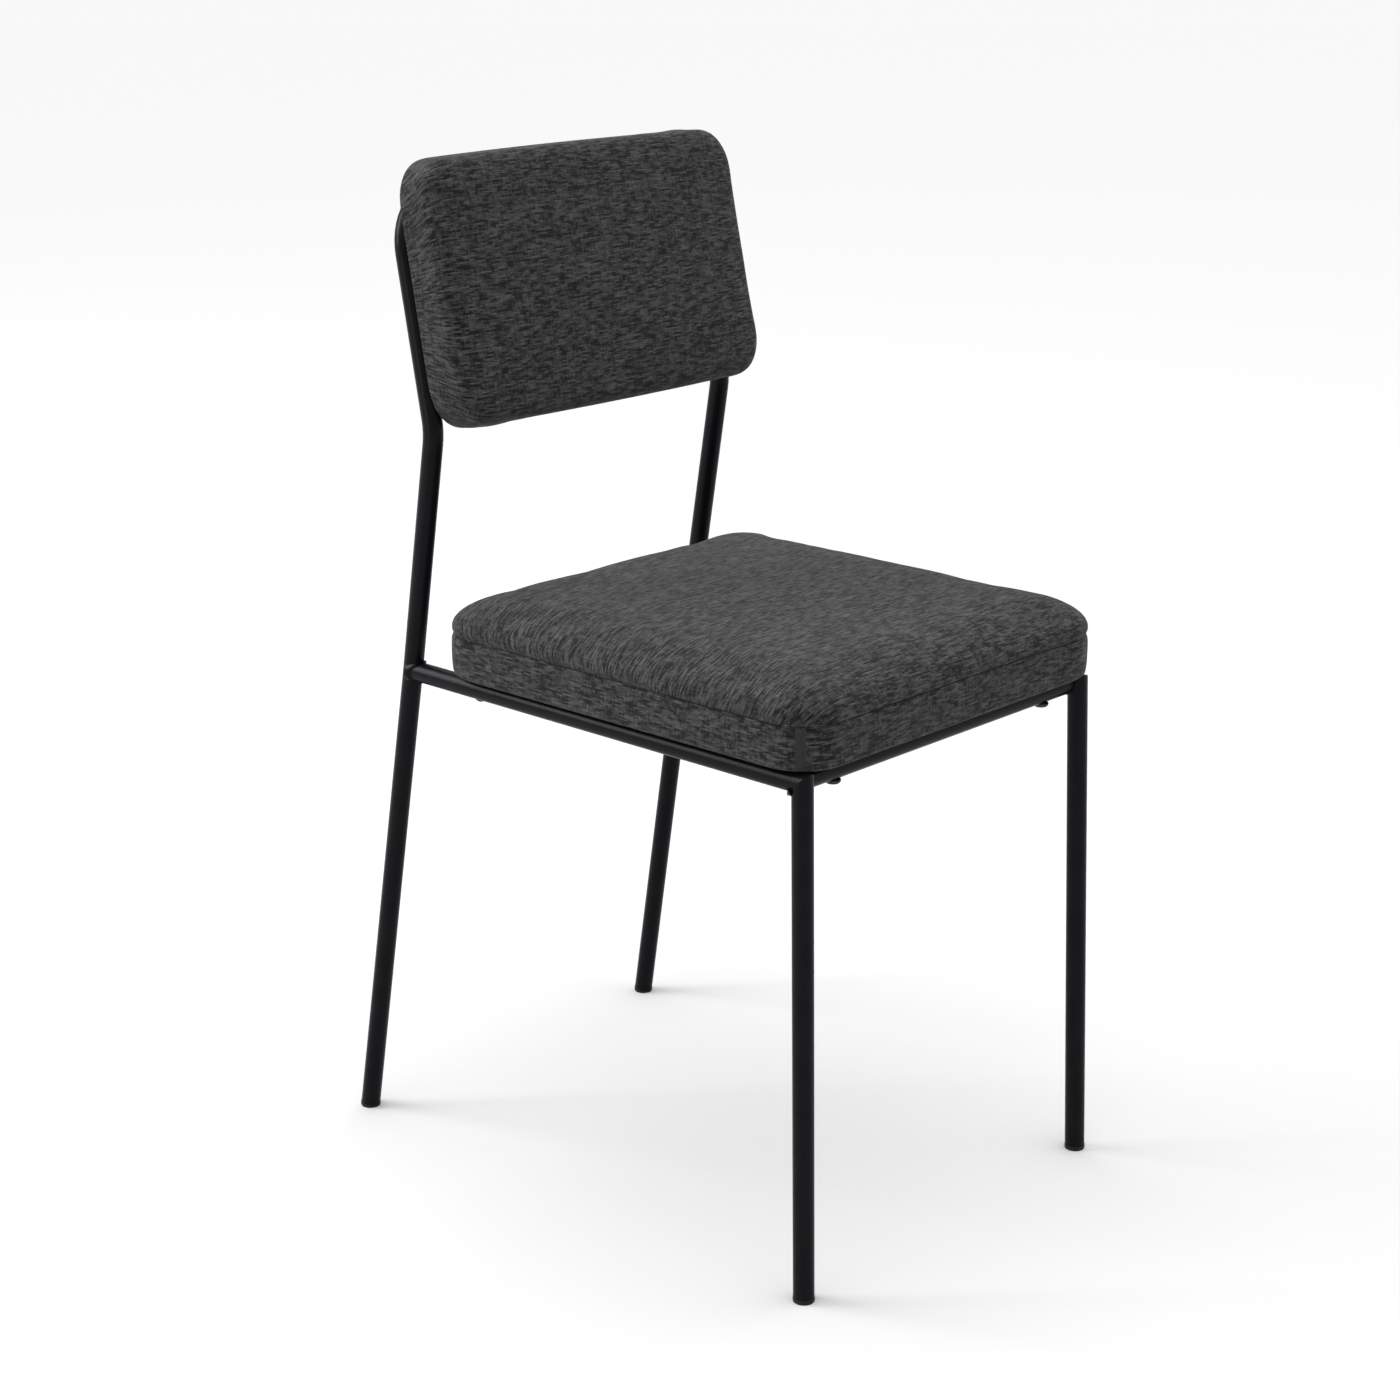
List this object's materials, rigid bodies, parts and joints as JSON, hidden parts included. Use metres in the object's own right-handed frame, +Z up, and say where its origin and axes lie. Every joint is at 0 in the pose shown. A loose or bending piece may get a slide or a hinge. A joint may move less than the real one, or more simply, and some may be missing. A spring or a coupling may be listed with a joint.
{
  "type": "dining chair",
  "caption": "Dining chair with a bent round-tube steel frame, a rear hoop, an upholstered box seat pad and a low upholstered backrest, standing on plastic end caps.",
  "frame": {"origin": "centre of the footprint on the floor", "axes": "+Z up; -Y the way the sitter faces; +X across the chair, to the right as seen from the front, as left and right in the node names"},
  "size_m": [0.36, 0.5044, 0.8026],
  "materials": {
    "frame_paint": "satin powder coat, near black",
    "cap_plastic": "moulded, satin",
    "cover_fabric": "charcoal slub weave",
    "dust_cloth": "thin non-woven, matte",
    "plywood": "bare plywood",
    "foam": "open-cell foam, matte",
    "fastener_steel": "zinc plated",
    "screw_steel": "black zinc plated"
  },
  "bodies": {
    "root": {"rear_hoop_tube": "frame_paint", "left_side_rail": "frame_paint", "right_side_rail": "frame_paint", "left_front_leg": "frame_paint", "right_front_leg": "frame_paint", "front_cross_rail": "frame_paint", "rear_cross_rail": "frame_paint", "frame_weld_beads": "frame_paint", "backrest_mounting_tabs": "frame_paint", "front_left_foot_cap": "cap_plastic", "front_right_foot_cap": "cap_plastic", "rear_left_foot_cap": "cap_plastic", "rear_right_foot_cap": "cap_plastic", "seat_board": "plywood", "seat_foam": "foam", "seat_cover_top_panel": "cover_fabric", "seat_cover_side_band": "cover_fabric", "seat_dust_cover": "dust_cloth", "seat_staples": "fastener_steel", "seat_tee_nuts": "fastener_steel", "seat_fixing_screws": "screw_steel", "backrest_board": "plywood", "backrest_foam": "foam", "backrest_cover": "cover_fabric", "backrest_rear_cloth": "cover_fabric", "backrest_staples": "fastener_steel", "backrest_tee_nuts": "fastener_steel", "backrest_fixing_screws": "screw_steel"}
  },
  "joints": []
}
